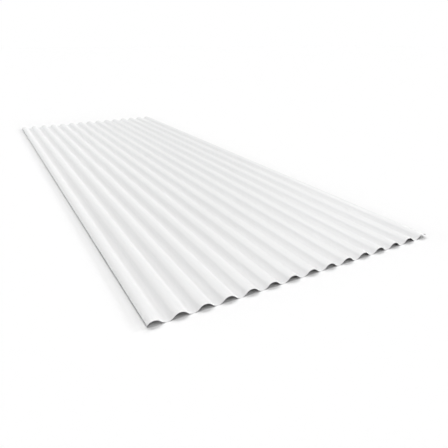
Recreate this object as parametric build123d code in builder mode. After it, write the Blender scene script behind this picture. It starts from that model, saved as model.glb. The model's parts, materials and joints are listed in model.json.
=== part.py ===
"""Corrugated polypropylene sheet: one extruded sheet of even wall, formed into round waves.

The waves run along Y and rise along Z. The sheet lies on its troughs, with the origin on the
floor under its middle. Sizes are in millimetres.
"""

import math
import os

from build123d import *

# Driving dimensions
sheet_length = 3000.0  # along the waves, from cut end to cut end
wave_pitch = 76.0  # from one crest to the next
wave_height = 18.0  # from the floor to the top of a crest, wall included
crest_count = 15  # crests from side to side
wall = 1.0  # thickness of the sheet, square to its surface

# The middle of the wall is a chain of equal arcs that meet, tangent, at half height
quarter_run = wave_pitch / 4
quarter_rise = (wave_height - wall) / 2
flank = 2 * math.atan2(quarter_rise, quarter_run)
bend_radius = quarter_run / math.sin(flank)
inner_radius = bend_radius - wall / 2
outer_radius = bend_radius + wall / 2

# Both side edges are cut square to the sheet at half height, a quarter wave out from the end crests
half_wave_count = 2 * crest_count - 1
edge_x = -half_wave_count * quarter_run
edge_z = wave_height / 2
half_wall_x = wall / 2 * math.sin(flank)
half_wall_z = wall / 2 * math.cos(flank)
edge_under = (edge_x + half_wall_x, edge_z - half_wall_z)
edge_top = (edge_x - half_wall_x, edge_z + half_wall_z)
flank_direction = (math.cos(flank), math.sin(flank))


def wave_line(start, crest_radius, trough_radius):
    """Draw one face of the section as tangent arcs, crest and trough in turn, from the left edge.

    Returns the point where it meets the right edge.
    """
    direction = flank_direction
    for half_wave in range(half_wave_count):
        on_crest = half_wave % 2 == 0
        radius = crest_radius if on_crest else trough_radius
        turn = math.degrees(-2 * flank if on_crest else 2 * flank)
        bend = JernArc(start, direction, radius, turn)
        start = bend @ 1
        direction = bend % 1
    return start


with BuildPart() as corrugated_sheet:
    with BuildSketch(Plane.XZ.offset(-sheet_length / 2)) as section:
        with BuildLine() as outline:
            under_end = wave_line(edge_under, inner_radius, outer_radius)
            top_end = wave_line(edge_top, outer_radius, inner_radius)
            Line(edge_under, edge_top)
            Line(under_end, top_end)
        make_face()
    extrude(amount=sheet_length)

corrugated_sheet.part.label = "corrugated_sheet"

os.makedirs("parts", exist_ok=True)
export_step(corrugated_sheet.part, "parts/corrugated_sheet.step")

box = corrugated_sheet.part.bounding_box()
print(f"sheet {box.size.X:.2f} wide, {box.size.Y:.2f} long, {box.size.Z:.2f} high, from z = {box.min.Z:.3f}")
print(f"bends {bend_radius:.2f} at mid-wall, flanks at {math.degrees(flank):.1f} degrees")
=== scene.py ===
# %% [markdown]
# A corrugated polypropylene sheet, lying flat on a pale studio floor.
# The solid part gives the sheet its size and place. This file gives it its looks: a finely divided
# wave, a satin white plastic with clean cut edges, a floor, soft light and a camera.
# Before each step a few lines say what the piece is on the real sheet, how it could be made, and why
# it is made this way here.
#
# The first step loads the solid part. The sheet could be modelled anew from measurements alone, but the
# solid part already holds its size and place, so it is the frame that every visible piece is fitted to.

# %% Load the solid part as the fixed frame
import json
import math

import bpy
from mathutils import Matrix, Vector


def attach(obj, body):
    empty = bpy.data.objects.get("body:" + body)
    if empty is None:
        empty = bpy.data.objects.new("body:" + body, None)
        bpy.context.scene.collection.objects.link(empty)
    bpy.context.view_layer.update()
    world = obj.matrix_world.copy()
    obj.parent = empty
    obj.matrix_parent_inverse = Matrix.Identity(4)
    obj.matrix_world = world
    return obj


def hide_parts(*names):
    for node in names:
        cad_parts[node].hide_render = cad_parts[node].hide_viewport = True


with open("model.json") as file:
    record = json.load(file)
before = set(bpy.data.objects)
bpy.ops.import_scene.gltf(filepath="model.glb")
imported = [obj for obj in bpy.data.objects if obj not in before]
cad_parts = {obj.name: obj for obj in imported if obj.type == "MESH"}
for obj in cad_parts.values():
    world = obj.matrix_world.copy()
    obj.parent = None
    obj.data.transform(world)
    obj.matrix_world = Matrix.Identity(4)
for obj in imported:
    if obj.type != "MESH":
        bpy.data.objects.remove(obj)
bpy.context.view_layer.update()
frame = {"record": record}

scene = bpy.context.scene

# %% [markdown]
# A builder orders such a sheet by four sizes: its length, the pitch from one crest to the next, the
# height of a wave, and the thickness of the wall. They could be typed in again here, but then they could
# drift from the solid part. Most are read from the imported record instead: its box gives the length and
# the height, and its two side laps lie on the outer crests, a whole number of waves apart.

# %% Sizes of the sheet, in metres
CREST_COUNT = 15
WALL = 0.001

record = frame["record"]
mount_at = {mount["name"]: Vector(mount["pos_m"]) for mount in record["mounts"]}
crest_span = mount_at["right_side_lap"].x - mount_at["left_side_lap"].x
WAVE_PITCH = crest_span / (CREST_COUNT - 1)
SHEET_LENGTH = record["size"]["bbox_m"][1]
WAVE_HEIGHT = record["size"]["bbox_m"][2]
print(f"pitch {WAVE_PITCH:.4f}, height {WAVE_HEIGHT:.4f}, length {SHEET_LENGTH:.3f} m")

# %% [markdown]
# Materials and shapes below are node trees, made of many small nodes. Placing each one by hand takes
# four lines or more. Two helpers keep the steps short: one adds a node and fills its inputs, either
# with a value or with a link from another node, and the other adds one sum and returns its result.

# %% Helpers for node trees
def add_node(tree, kind, inputs=None, **settings):
    """Add a node, set its properties, and fill its inputs with values or with links."""
    node = tree.nodes.new(kind)
    for name, value in settings.items():
        setattr(node, name, value)
    for key, value in (inputs or {}).items():
        if isinstance(value, bpy.types.NodeSocket):
            tree.links.new(value, node.inputs[key])
        else:
            node.inputs[key].default_value = value
    return node


def calc(tree, operation, first, second=0.0, third=0.0):
    """Add one Math node and return its result."""
    node = add_node(tree, "ShaderNodeMath", {0: first, 1: second, 2: third}, operation=operation)
    return node.outputs[0]


print("helpers ready")

# %% [markdown]
# White polypropylene leaves the rollers with a satin face. Seen close, that face has faint straight
# lines that the die drew along the sheet, a fine grain from the rollers, and slow patches where it
# cooled unevenly. Pictures could show them, but they need files and blur up close. Noise textures are
# used instead, on the object's own coordinates, which are metres, so each detail keeps its real size.

# %% The noises that the plastic is made of
polypropylene = bpy.data.materials.new("white_polypropylene")
polypropylene.use_nodes = True
plastic = polypropylene.node_tree
on_sheet = add_node(plastic, "ShaderNodeTexCoord").outputs["Object"]


def noise_on_sheet(across, along, up, detail):
    """Noise with this many changes in a metre each way. Returns its value, from 0 to 1."""
    inputs = {"Vector": on_sheet, "Scale": (across, along, up)}
    stretched = add_node(plastic, "ShaderNodeMapping", inputs).outputs[0]
    inputs = {"Vector": stretched, "Scale": 1.0, "Detail": detail}
    return add_node(plastic, "ShaderNodeTexNoise", inputs).outputs[0]


die_lines = noise_on_sheet(across=280.0, along=0.8, up=280.0, detail=2.0)
roller_grain = noise_on_sheet(across=600.0, along=450.0, up=600.0, detail=2.0)
cooling_patches = noise_on_sheet(across=5.0, along=1.6, up=5.0, detail=1.0)
saw_marks = noise_on_sheet(across=2200.0, along=2200.0, up=90.0, detail=1.0)
blush_patches = noise_on_sheet(across=90.0, along=60.0, up=90.0, detail=3.0)
rub_streaks = noise_on_sheet(across=900.0, along=9.0, up=900.0, detail=2.0)
print("plastic has", len(plastic.nodes), "nodes")

# %% [markdown]
# A sheet that has been sawn shows it at its edges. The cut faces are clean and a little whiter, with
# fine saw marks. Polypropylene blushes where it is strained, so the last few millimetres before a cut
# are paler in places. A second material could colour the cut faces, but it would know nothing of how
# near a cut is. Here the mesh carries two attributes, made further down, and the one material reads
# both: cut_face is 1 on a cut face and 0 elsewhere, and from_edge is the distance to the nearest cut,
# in metres.

# %% Where the plastic is cut, and where it has blushed
BLUSHED_WIDTH = 0.012
PATCH_STARTS = 0.40
PATCH_FULL = 0.58


def ramp(value, start, end, low=0.0, high=1.0):
    """Go from low to high while a value goes from start to end."""
    inputs = {"Value": value, "From Min": start, "From Max": end, "To Min": low, "To Max": high}
    return add_node(plastic, "ShaderNodeMapRange", inputs).outputs[0]


cut_face = add_node(plastic, "ShaderNodeAttribute", attribute_name="cut_face").outputs["Fac"]
from_edge = add_node(plastic, "ShaderNodeAttribute", attribute_name="from_edge").outputs["Fac"]
near_cut = ramp(from_edge, 0.0, BLUSHED_WIDTH, low=1.0, high=0.0)
edge_blush = calc(plastic, "MULTIPLY", near_cut, ramp(blush_patches, PATCH_STARTS, PATCH_FULL))
print("the blush reaches", BLUSHED_WIDTH * 1000, "mm in from a cut")

# %% [markdown]
# Sheets are stored in stacks, and where one slid over another the crests carry fine rub marks along the
# sheet, which are paler and duller, as the blush is. They could be drawn one by one as thin curves. Here
# only the tops of a long, narrow noise are kept, and only near the top of a wave, which costs no faces.

# %% Rub marks on the crests
RUB_STARTS = 0.60
RUB_FULL = 0.68
RUBBED_FROM = 0.70 * WAVE_HEIGHT
RUBBED_FULL = 0.95 * WAVE_HEIGHT
RUB_STRENGTH = 0.5

height_on_sheet = add_node(plastic, "ShaderNodeSeparateXYZ", {0: on_sheet}).outputs["Z"]
on_crest = ramp(height_on_sheet, RUBBED_FROM, RUBBED_FULL, high=RUB_STRENGTH)
rub_marks = calc(plastic, "MULTIPLY", on_crest, ramp(rub_streaks, RUB_STARTS, RUB_FULL))
blush = calc(plastic, "MAXIMUM", edge_blush, rub_marks)
print(f"rub marks start {RUBBED_FROM * 1000:.1f} mm above the floor")

# %% [markdown]
# The sheet is plain white with no tint, so its colour varies by only a few percent: the die lines and
# the cooling patches move it between two whites, and the blush is whiter still. It could be painted on
# by hand, but three metres of sheet is a lot to paint. Mix nodes blend the whites by the noises instead.

# %% Colour of the plastic
DIM_WHITE = (0.788, 0.790, 0.790, 1.0)
CLEAR_WHITE = (0.818, 0.820, 0.820, 1.0)
BLUSH_WHITE = (0.89, 0.89, 0.885, 1.0)
CUT_WHITE = (0.84, 0.84, 0.84, 1.0)
MEAN_OF_TWO = 0.5

# A Mix node has sockets of one name for numbers, vectors and colours, so the colour ones go by number.
FIRST_COLOUR = 6
SECOND_COLOUR = 7
MIXED_COLOUR = 2


def blend_colour(share, first, second):
    """Blend two colours; share is how much of the second shows."""
    inputs = {"Factor": share, FIRST_COLOUR: first, SECOND_COLOUR: second}
    return add_node(plastic, "ShaderNodeMix", inputs, data_type="RGBA").outputs[MIXED_COLOUR]


whiteness = calc(plastic, "MULTIPLY", calc(plastic, "ADD", die_lines, cooling_patches), MEAN_OF_TWO)
face_colour = blend_colour(whiteness, DIM_WHITE, CLEAR_WHITE)
blushed_colour = blend_colour(blush, face_colour, BLUSH_WHITE)
colour = blend_colour(cut_face, blushed_colour, CUT_WHITE)
print("white from", DIM_WHITE[0], "to", BLUSH_WHITE[0])

# %% [markdown]
# The satin face comes from the shader's roughness: low is a mirror, high is chalk. This plastic sits
# between, so it shows broad soft highlights along its crests. One number for the whole sheet could do,
# but it would look like even paint. So the grain moves the roughness a little, the blush raises it, and
# the sawn faces are nearly matt.

# %% Gloss of the plastic
SATIN = 0.36
SATIN_GRAIN = 0.44
GRAIN_LOW = 0.3
GRAIN_HIGH = 0.7
BLUSH_DULLS = 0.15
SAWN = 0.62

satin = ramp(roller_grain, GRAIN_LOW, GRAIN_HIGH, low=SATIN, high=SATIN_GRAIN)
worn_satin = calc(plastic, "MULTIPLY_ADD", blush, BLUSH_DULLS, satin)
to_sawn = calc(plastic, "MULTIPLY", calc(plastic, "SUBTRACT", SAWN, worn_satin), cut_face)
roughness = calc(plastic, "ADD", worn_satin, to_sawn)
print("roughness from", SATIN, "to", SAWN)

# %% [markdown]
# The lines, the grain and the marks can be felt as well as seen, but they are only hundredths of a
# millimetre deep. Real relief this fine would need millions of faces and would never show in the
# outline. So their heights are added up, in metres, and a Bump node tilts the shading by them.

# %% Fine relief of the plastic
DIE_LINE_DEPTH = 0.000024
GRAIN_DEPTH = 0.000010
RUB_MARK_DEPTH = 0.000010
SAW_MARK_DEPTH = 0.000040

relief = calc(plastic, "MULTIPLY", die_lines, DIE_LINE_DEPTH)
relief = calc(plastic, "MULTIPLY_ADD", roller_grain, GRAIN_DEPTH, relief)
relief = calc(plastic, "MULTIPLY_ADD", rub_marks, -RUB_MARK_DEPTH, relief)
sawn_relief = calc(plastic, "MULTIPLY", saw_marks, cut_face)
relief = calc(plastic, "MULTIPLY_ADD", sawn_relief, SAW_MARK_DEPTH, relief)
bump_inputs = {"Height": relief, "Strength": 1.0, "Distance": 1.0}
bumps = add_node(plastic, "ShaderNodeBump", bump_inputs).outputs[0]
print(f"relief up to {SAW_MARK_DEPTH * 1000:.2f} mm")

# %% [markdown]
# Plastic reflects a little from its face and scatters the rest as white. A diffuse and a glossy shader
# could be mixed for that, but their balance has to change with the angle. The Principled shader does it
# from the plastic's index of refraction. That is the same all over the sheet, so it is set on the shader
# itself, and the colour, the roughness and the relief are linked to it.

# %% Join it all in the shader
PLASTIC_IOR = 1.49

shader = plastic.nodes["Principled BSDF"]
shader.inputs["IOR"].default_value = PLASTIC_IOR
plastic.links.new(colour, shader.inputs["Base Color"])
plastic.links.new(roughness, shader.inputs["Roughness"])
plastic.links.new(bumps, shader.inputs["Normal"])
print("plastic has", len(plastic.nodes), "nodes")

# %% [markdown]
# The sheet is one long strip of plastic, pressed by rollers while it is warm, so that its section is a
# chain of equal round bends. It could be drawn as a curve and swept, or bent with modifiers one on top
# of another. A Geometry Nodes tree suits it better, because the whole piece follows one rule: lay out a
# flat slab, then send each of its points to its place on the wave. The sizes are the tree's inputs.

# %% Start the tree of the wave
WAVE_INPUTS = {
    "Crests": "NodeSocketInt",
    "Pitch": "NodeSocketFloat",
    "Height": "NodeSocketFloat",
    "Wall": "NodeSocketFloat",
    "Length": "NodeSocketFloat",
    "Steps in a bend": "NodeSocketInt",
    "Rows": "NodeSocketInt",
}

wave = bpy.data.node_groups.new("wave_sheet", "GeometryNodeTree")
for name, kind in WAVE_INPUTS.items():
    wave.interface.new_socket(name=name, in_out="INPUT", socket_type=kind)
wave.interface.new_socket(name="Sheet", in_out="OUTPUT", socket_type="NodeSocketGeometry")
given = add_node(wave, "NodeGroupInput").outputs
print("the wave takes", ", ".join(WAVE_INPUTS))

# %% [markdown]
# First the flat slab, one unit each way, as the strip was before the rollers. Its edges lie half a unit
# from its middle, and it has two layers of points, the upper and the lower face. The Cube node can
# divide itself, so it gets a column of points for each step of each bend, and a row for each length of
# sheet. A sheet with n crests, cut at half height on both sides, has 2n - 1 bends.

# %% A flat slab
SLAB_SIZE = (1.0, 1.0, 1.0)
SLAB_EDGE = 0.5
SLAB_LAYERS = 2

bends = calc(wave, "MULTIPLY_ADD", given["Crests"], 2.0, -1.0)
columns = calc(wave, "MULTIPLY_ADD", bends, given["Steps in a bend"], 1.0)
rows = calc(wave, "ADD", given["Rows"], 1.0)
slab_inputs = {
    "Size": SLAB_SIZE,
    "Vertices X": columns,
    "Vertices Y": rows,
    "Vertices Z": SLAB_LAYERS,
}
slab = add_node(wave, "GeometryNodeMeshCube", slab_inputs).outputs["Mesh"]

flat_place = add_node(wave, "GeometryNodeInputPosition").outputs[0]
flat = add_node(wave, "ShaderNodeSeparateXYZ", {0: flat_place}).outputs
print("slab laid out,", len(wave.nodes), "nodes")

# %% [markdown]
# Each bend is an arc that meets the next one smoothly at half height. For such a pair of arcs, geometry
# gives the angle of the flank and the radius at the middle of the wall from a quarter of the pitch and
# half of the rise: the flank is twice the angle of the straight line from half height to the crest.

# %% Angle and radius of a bend
HALF = 0.5

run = calc(wave, "DIVIDE", given["Pitch"], 4.0)
rise = calc(wave, "MULTIPLY", calc(wave, "SUBTRACT", given["Height"], given["Wall"]), HALF)
flank = calc(wave, "MULTIPLY", calc(wave, "ARCTAN2", rise, run), 2.0)
radius = calc(wave, "DIVIDE", run, calc(wave, "SINE", flank))

flank_angle = 2 * math.atan2((WAVE_HEIGHT - WALL) / 2, WAVE_PITCH / 4)
bend_radius = WAVE_PITCH / 4 / math.sin(flank_angle)
print(f"flanks at {math.degrees(flank_angle):.1f} degrees, bends of {bend_radius * 1000:.2f} mm")

# %% [markdown]
# Next, which bend a point belongs to and how far round it lies. The place across the slab, counted in
# bends, has a whole part, the number of the bend, and a rest, which becomes an angle from minus to plus
# the flank. Crests and troughs take turns, so the bend's number, odd or even, says which way it goes.

# %% How far round its bend a point lies
across = calc(wave, "MULTIPLY", calc(wave, "ADD", flat["X"], SLAB_EDGE), bends)
bend = calc(wave, "FLOOR", across)
part = calc(wave, "SUBTRACT", across, bend)
angle = calc(wave, "MULTIPLY", calc(wave, "MULTIPLY_ADD", part, 2.0, -1.0), flank)

# 1 for a crest, whose number is even, and -1 for a trough.
upward = calc(wave, "MULTIPLY_ADD", calc(wave, "MODULO", bend, 2.0), -2.0, 1.0)
print("bends numbered,", len(wave.nodes), "nodes")

# %% [markdown]
# The wall keeps its thickness all the way round. Its upper face turns a little wider over a crest and a
# little tighter in a trough than the middle of the wall, and the lower face the other way. A Solidify
# modifier on a bent surface would come close, but this is exact and leaves the cut sides square.

# %% The bent place of each point
to_face = calc(wave, "MULTIPLY", calc(wave, "MULTIPLY", flat["Z"], given["Wall"]), upward)
face_radius = calc(wave, "ADD", radius, to_face)

from_middle = calc(wave, "MULTIPLY_ADD", bends, -HALF, calc(wave, "ADD", bend, HALF))
bend_middle = calc(wave, "MULTIPLY", from_middle, calc(wave, "MULTIPLY", run, 2.0))
wave_x = calc(wave, "MULTIPLY_ADD", face_radius, calc(wave, "SINE", angle), bend_middle)
wave_y = calc(wave, "MULTIPLY", flat["Y"], given["Length"])

at_half_height = calc(wave, "MULTIPLY", radius, calc(wave, "COSINE", flank))
over_half = calc(wave, "MULTIPLY", face_radius, calc(wave, "COSINE", angle))
over_half = calc(wave, "SUBTRACT", over_half, at_half_height)
half_height = calc(wave, "MULTIPLY", given["Height"], HALF)
wave_z = calc(wave, "MULTIPLY_ADD", over_half, upward, half_height)
wave_place = add_node(wave, "ShaderNodeCombineXYZ", {0: wave_x, 1: wave_y, 2: wave_z}).outputs[0]
print("wave worked out,", len(wave.nodes), "nodes")

# %% [markdown]
# The two attributes that the plastic reads are stored while the slab is still flat, because there they
# are simple: a face that looks up or down is the sheet's own, any other was cut, and the distance to the
# nearest cut is measured along the plastic, as a tape would go over the waves.

# %% Mark the cut faces and the distance to them
UPRIGHT_LIMIT = 0.5

look = add_node(wave, "GeometryNodeInputNormal").outputs[0]
look = add_node(wave, "ShaderNodeSeparateXYZ", {0: look}).outputs
is_cut = calc(wave, "LESS_THAN", calc(wave, "ABSOLUTE", look["Z"]), UPRIGHT_LIMIT)

arc_length = calc(wave, "MULTIPLY", calc(wave, "MULTIPLY", radius, flank), 2.0)
flat_width = calc(wave, "MULTIPLY", arc_length, bends)
to_side = calc(wave, "SUBTRACT", SLAB_EDGE, calc(wave, "ABSOLUTE", flat["X"]))
to_end = calc(wave, "SUBTRACT", SLAB_EDGE, calc(wave, "ABSOLUTE", flat["Y"]))
to_side = calc(wave, "MULTIPLY", to_side, flat_width)
to_end = calc(wave, "MULTIPLY", to_end, given["Length"])
to_cut = calc(wave, "MINIMUM", to_side, to_end)


def store(mesh, name, value, domain):
    """Keep a value on each face or point of the mesh, under a name."""
    inputs = {"Geometry": mesh, "Name": name, "Value": value}
    kind = "GeometryNodeStoreNamedAttribute"
    return add_node(wave, kind, inputs, data_type="FLOAT", domain=domain).outputs[0]


marked = store(slab, "cut_face", is_cut, "FACE")
marked = store(marked, "from_edge", to_cut, "POINT")
print("attributes cut_face and from_edge stored")

# %% [markdown]
# Now the slab is bent. The bends are shaded smooth, and the edges of the cuts are kept sharp by their
# angle, so that a saw cut looks crisp. The tree ends by making everything real mesh and giving it the
# plastic, because the export keeps no instances.

# %% Bend, smooth and finish
CRISP_ANGLE = math.radians(50)

bent_inputs = {"Geometry": marked, "Position": wave_place}
bent = add_node(wave, "GeometryNodeSetPosition", bent_inputs).outputs[0]
smooth_inputs = {"Geometry": bent, "Shade Smooth": True}
smooth = add_node(wave, "GeometryNodeSetShadeSmooth", smooth_inputs, domain="FACE").outputs[0]

fold = add_node(wave, "GeometryNodeInputMeshEdgeAngle").outputs["Unsigned Angle"]
is_crisp = calc(wave, "GREATER_THAN", fold, CRISP_ANGLE)
crisp_inputs = {"Geometry": smooth, "Selection": is_crisp, "Shade Smooth": False}
crisp = add_node(wave, "GeometryNodeSetShadeSmooth", crisp_inputs, domain="EDGE").outputs[0]

real = add_node(wave, "GeometryNodeRealizeInstances", {"Geometry": crisp}).outputs[0]
plastic_inputs = {"Geometry": real, "Material": polypropylene}
finished = add_node(wave, "GeometryNodeSetMaterial", plastic_inputs).outputs[0]
add_node(wave, "NodeGroupOutput", {"Sheet": finished})
print("tree of the wave:", len(wave.nodes), "nodes")

# %% [markdown]
# A tree does nothing until a modifier runs it. The modifier's inputs are filled by each socket's
# identifier, before Blender first looks at the object, and the result is copied into a plain mesh. The
# object that ran the tree is then thrown away, so nothing live is left on the sheet.

# %% Make the sheet
SHEET_SIZES = {
    "Crests": CREST_COUNT,
    "Pitch": WAVE_PITCH,
    "Height": WAVE_HEIGHT,
    "Wall": WALL,
    "Length": SHEET_LENGTH,
    "Steps in a bend": 16,
    "Rows": 40,
}


def run_tree(tree, values, name):
    """Run a node tree with these inputs and return an object that holds only its mesh."""
    maker = bpy.data.objects.new("maker", bpy.data.meshes.new("maker"))
    scene.collection.objects.link(maker)
    modifier = maker.modifiers.new("tree", "NODES")
    modifier.node_group = tree
    for socket in tree.interface.items_tree:
        if socket.in_out == "INPUT":
            modifier[socket.identifier] = values[socket.name]
    ready = maker.evaluated_get(bpy.context.evaluated_depsgraph_get())
    mesh = bpy.data.meshes.new_from_object(ready)
    mesh.name = name
    bpy.data.objects.remove(maker)
    piece = bpy.data.objects.new(name, mesh)
    scene.collection.objects.link(piece)
    return piece


sheet = run_tree(wave, SHEET_SIZES, "wave_sheet")
print("sheet", len(sheet.data.polygons), "faces,", [round(side, 4) for side in sheet.dimensions], "m")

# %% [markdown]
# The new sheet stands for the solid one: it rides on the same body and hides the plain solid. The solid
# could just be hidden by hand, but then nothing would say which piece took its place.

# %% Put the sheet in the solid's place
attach(sheet, "root")
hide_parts("corrugated_sheet")
print("the sheet replaces the solid")

# %% [markdown]
# The camera stands in front of the near left corner, about as high as a table, and looks down across
# the waves. It could be placed by eye. These numbers were found instead by laying the known arcs of the
# near edge and the line of the left edge over the photograph, until both agreed to about a quarter of
# a pixel.

# %% Camera
IMAGE_SIDE = 448
FOCAL_LENGTH_PIXELS = 415.2
SENSOR_WIDTH = 36.0
TURN_RIGHT = math.radians(29.585)
LOOK_DOWN = math.radians(23.94)
CAMERA_PLACE = (-0.8080, -2.3539, 0.6816)

lens = bpy.data.cameras.new("camera")
lens.sensor_width = SENSOR_WIDTH
lens.lens = FOCAL_LENGTH_PIXELS / IMAGE_SIDE * SENSOR_WIDTH
camera = bpy.data.objects.new("camera", lens)
camera.location = CAMERA_PLACE
camera.rotation_euler = (math.pi / 2 - LOOK_DOWN, 0, -TURN_RIGHT)
scene.collection.objects.link(camera)
scene.camera = camera
print(f"lens {lens.lens:.1f} mm")

# %% [markdown]
# The floor is a plain white sweep. Light that the floor throws back would fill the hollow waves from
# below and lose the dark arches, so the floor is white only to the camera and in reflections, and a dark
# grey to the light that bounces. A Light Path node tells the two apart. Both are plain matt surfaces, so
# the sheet's shadow stays.

# %% Floor
FLOOR_SIDE = 80.0
FLOOR_WHITE = (0.99, 0.99, 0.99, 1.0)
FLOOR_BOUNCE = (0.1, 0.1, 0.1, 1.0)


def seen_directly(tree):
    """1 for light that reaches the camera straight, by reflection or through glass, and otherwise 0."""
    path = add_node(tree, "ShaderNodeLightPath").outputs
    direct = calc(tree, "MAXIMUM", path["Is Camera Ray"], path["Is Glossy Ray"])
    return calc(tree, "MAXIMUM", direct, path["Is Transmission Ray"])


pale_floor = bpy.data.materials.new("pale_floor")
pale_floor.use_nodes = True
paint = pale_floor.node_tree
paint.nodes.clear()
bounce = add_node(paint, "ShaderNodeBsdfDiffuse", {"Color": FLOOR_BOUNCE}).outputs[0]
white = add_node(paint, "ShaderNodeBsdfDiffuse", {"Color": FLOOR_WHITE}).outputs[0]
either_inputs = {0: seen_directly(paint), 1: bounce, 2: white}
either = add_node(paint, "ShaderNodeMixShader", either_inputs).outputs[0]
add_node(paint, "ShaderNodeOutputMaterial", {"Surface": either})

reach = FLOOR_SIDE / 2
floor_mesh = bpy.data.meshes.new("floor")
floor_corners = [(-reach, -reach, 0), (reach, -reach, 0), (reach, reach, 0), (-reach, reach, 0)]
floor_mesh.from_pydata(floor_corners, [], [(0, 1, 2, 3)])
floor_mesh.materials.append(pale_floor)
floor = bpy.data.objects.new("floor", floor_mesh)
scene.collection.objects.link(floor)
print("floor", FLOOR_SIDE, "m wide")

# %% [markdown]
# A white sheet on white needs soft light with a direction, or its waves vanish. The lamps below work
# like the panels of a light tent: one overhead, three behind, one in front, two on the right, one on
# the left, and three low ones, which reach the flanks and the cut face of the near end. Area lamps
# would fade along three metres of sheet and grey the floor further off, so each panel is a Sun lamp
# with a soft disc, which lights the whole floor evenly. Their shares add up to about 1, so a colour
# renders about as it is written.

# %% Lamps
LAMPS = (
    # name, azimuth from the right, height and width of its disc in degrees, share of the light
    ("overhead", 0, 90, 25, 0.245),
    ("back_middle", 90, 54, 20, 0.19),
    ("back_right", 60, 45, 20, 0.09),
    ("back_left", 120, 45, 20, 0.09),
    ("front", 240, 50, 25, 0.13),
    ("right", 0, 20, 8, 0.08),
    ("right_back", 30, 32, 10, 0.07),
    ("left", 180, 16, 8, 0.04),
    ("low_front_right", 330, 14, 10, 0.04),
    ("low_front", 275, 2, 3, 0.02),
    ("low_back_left", 150, 6, 8, 0.015),
)


def hang_lamp(name, azimuth, height, width, share):
    """Add one soft lamp that gives a level floor this share of full white."""
    azimuth, height = math.radians(azimuth), math.radians(height)
    level = math.cos(height)
    toward = Vector((math.cos(azimuth) * level, math.sin(azimuth) * level, math.sin(height)))
    lamp = bpy.data.lights.new(name, "SUN")
    lamp.angle = math.radians(width)
    lamp.energy = math.pi * share / math.sin(height)
    hung = bpy.data.objects.new(name, lamp)
    hung.rotation_euler = (-toward).to_track_quat("-Z", "Y").to_euler()
    scene.collection.objects.link(hung)


for lamp_values in LAMPS:
    hang_lamp(*lamp_values)
print(f"{len(LAMPS)} lamps, {sum(values[-1] for values in LAMPS):.2f} of full white on the floor")

# %% [markdown]
# Behind everything the world is plain white, so that the floor has no visible end, and so that the
# gloss on the plastic has something bright to reflect. A picture of a studio could do that too, but
# plain white needs no file. It gives no light of its own to matt surfaces: the lamps do that.

# %% World
WORLD_WHITE = (1.0, 1.0, 1.0, 1.0)

world = bpy.data.worlds.new("studio")
world.use_nodes = True
sky = world.node_tree
sky_shader = sky.nodes["Background"]
sky_shader.inputs["Color"].default_value = WORLD_WHITE
sky.links.new(seen_directly(sky), sky_shader.inputs["Strength"])
scene.world = world
scene.view_settings.view_transform = "Standard"
print("world white, view transform", scene.view_settings.view_transform)
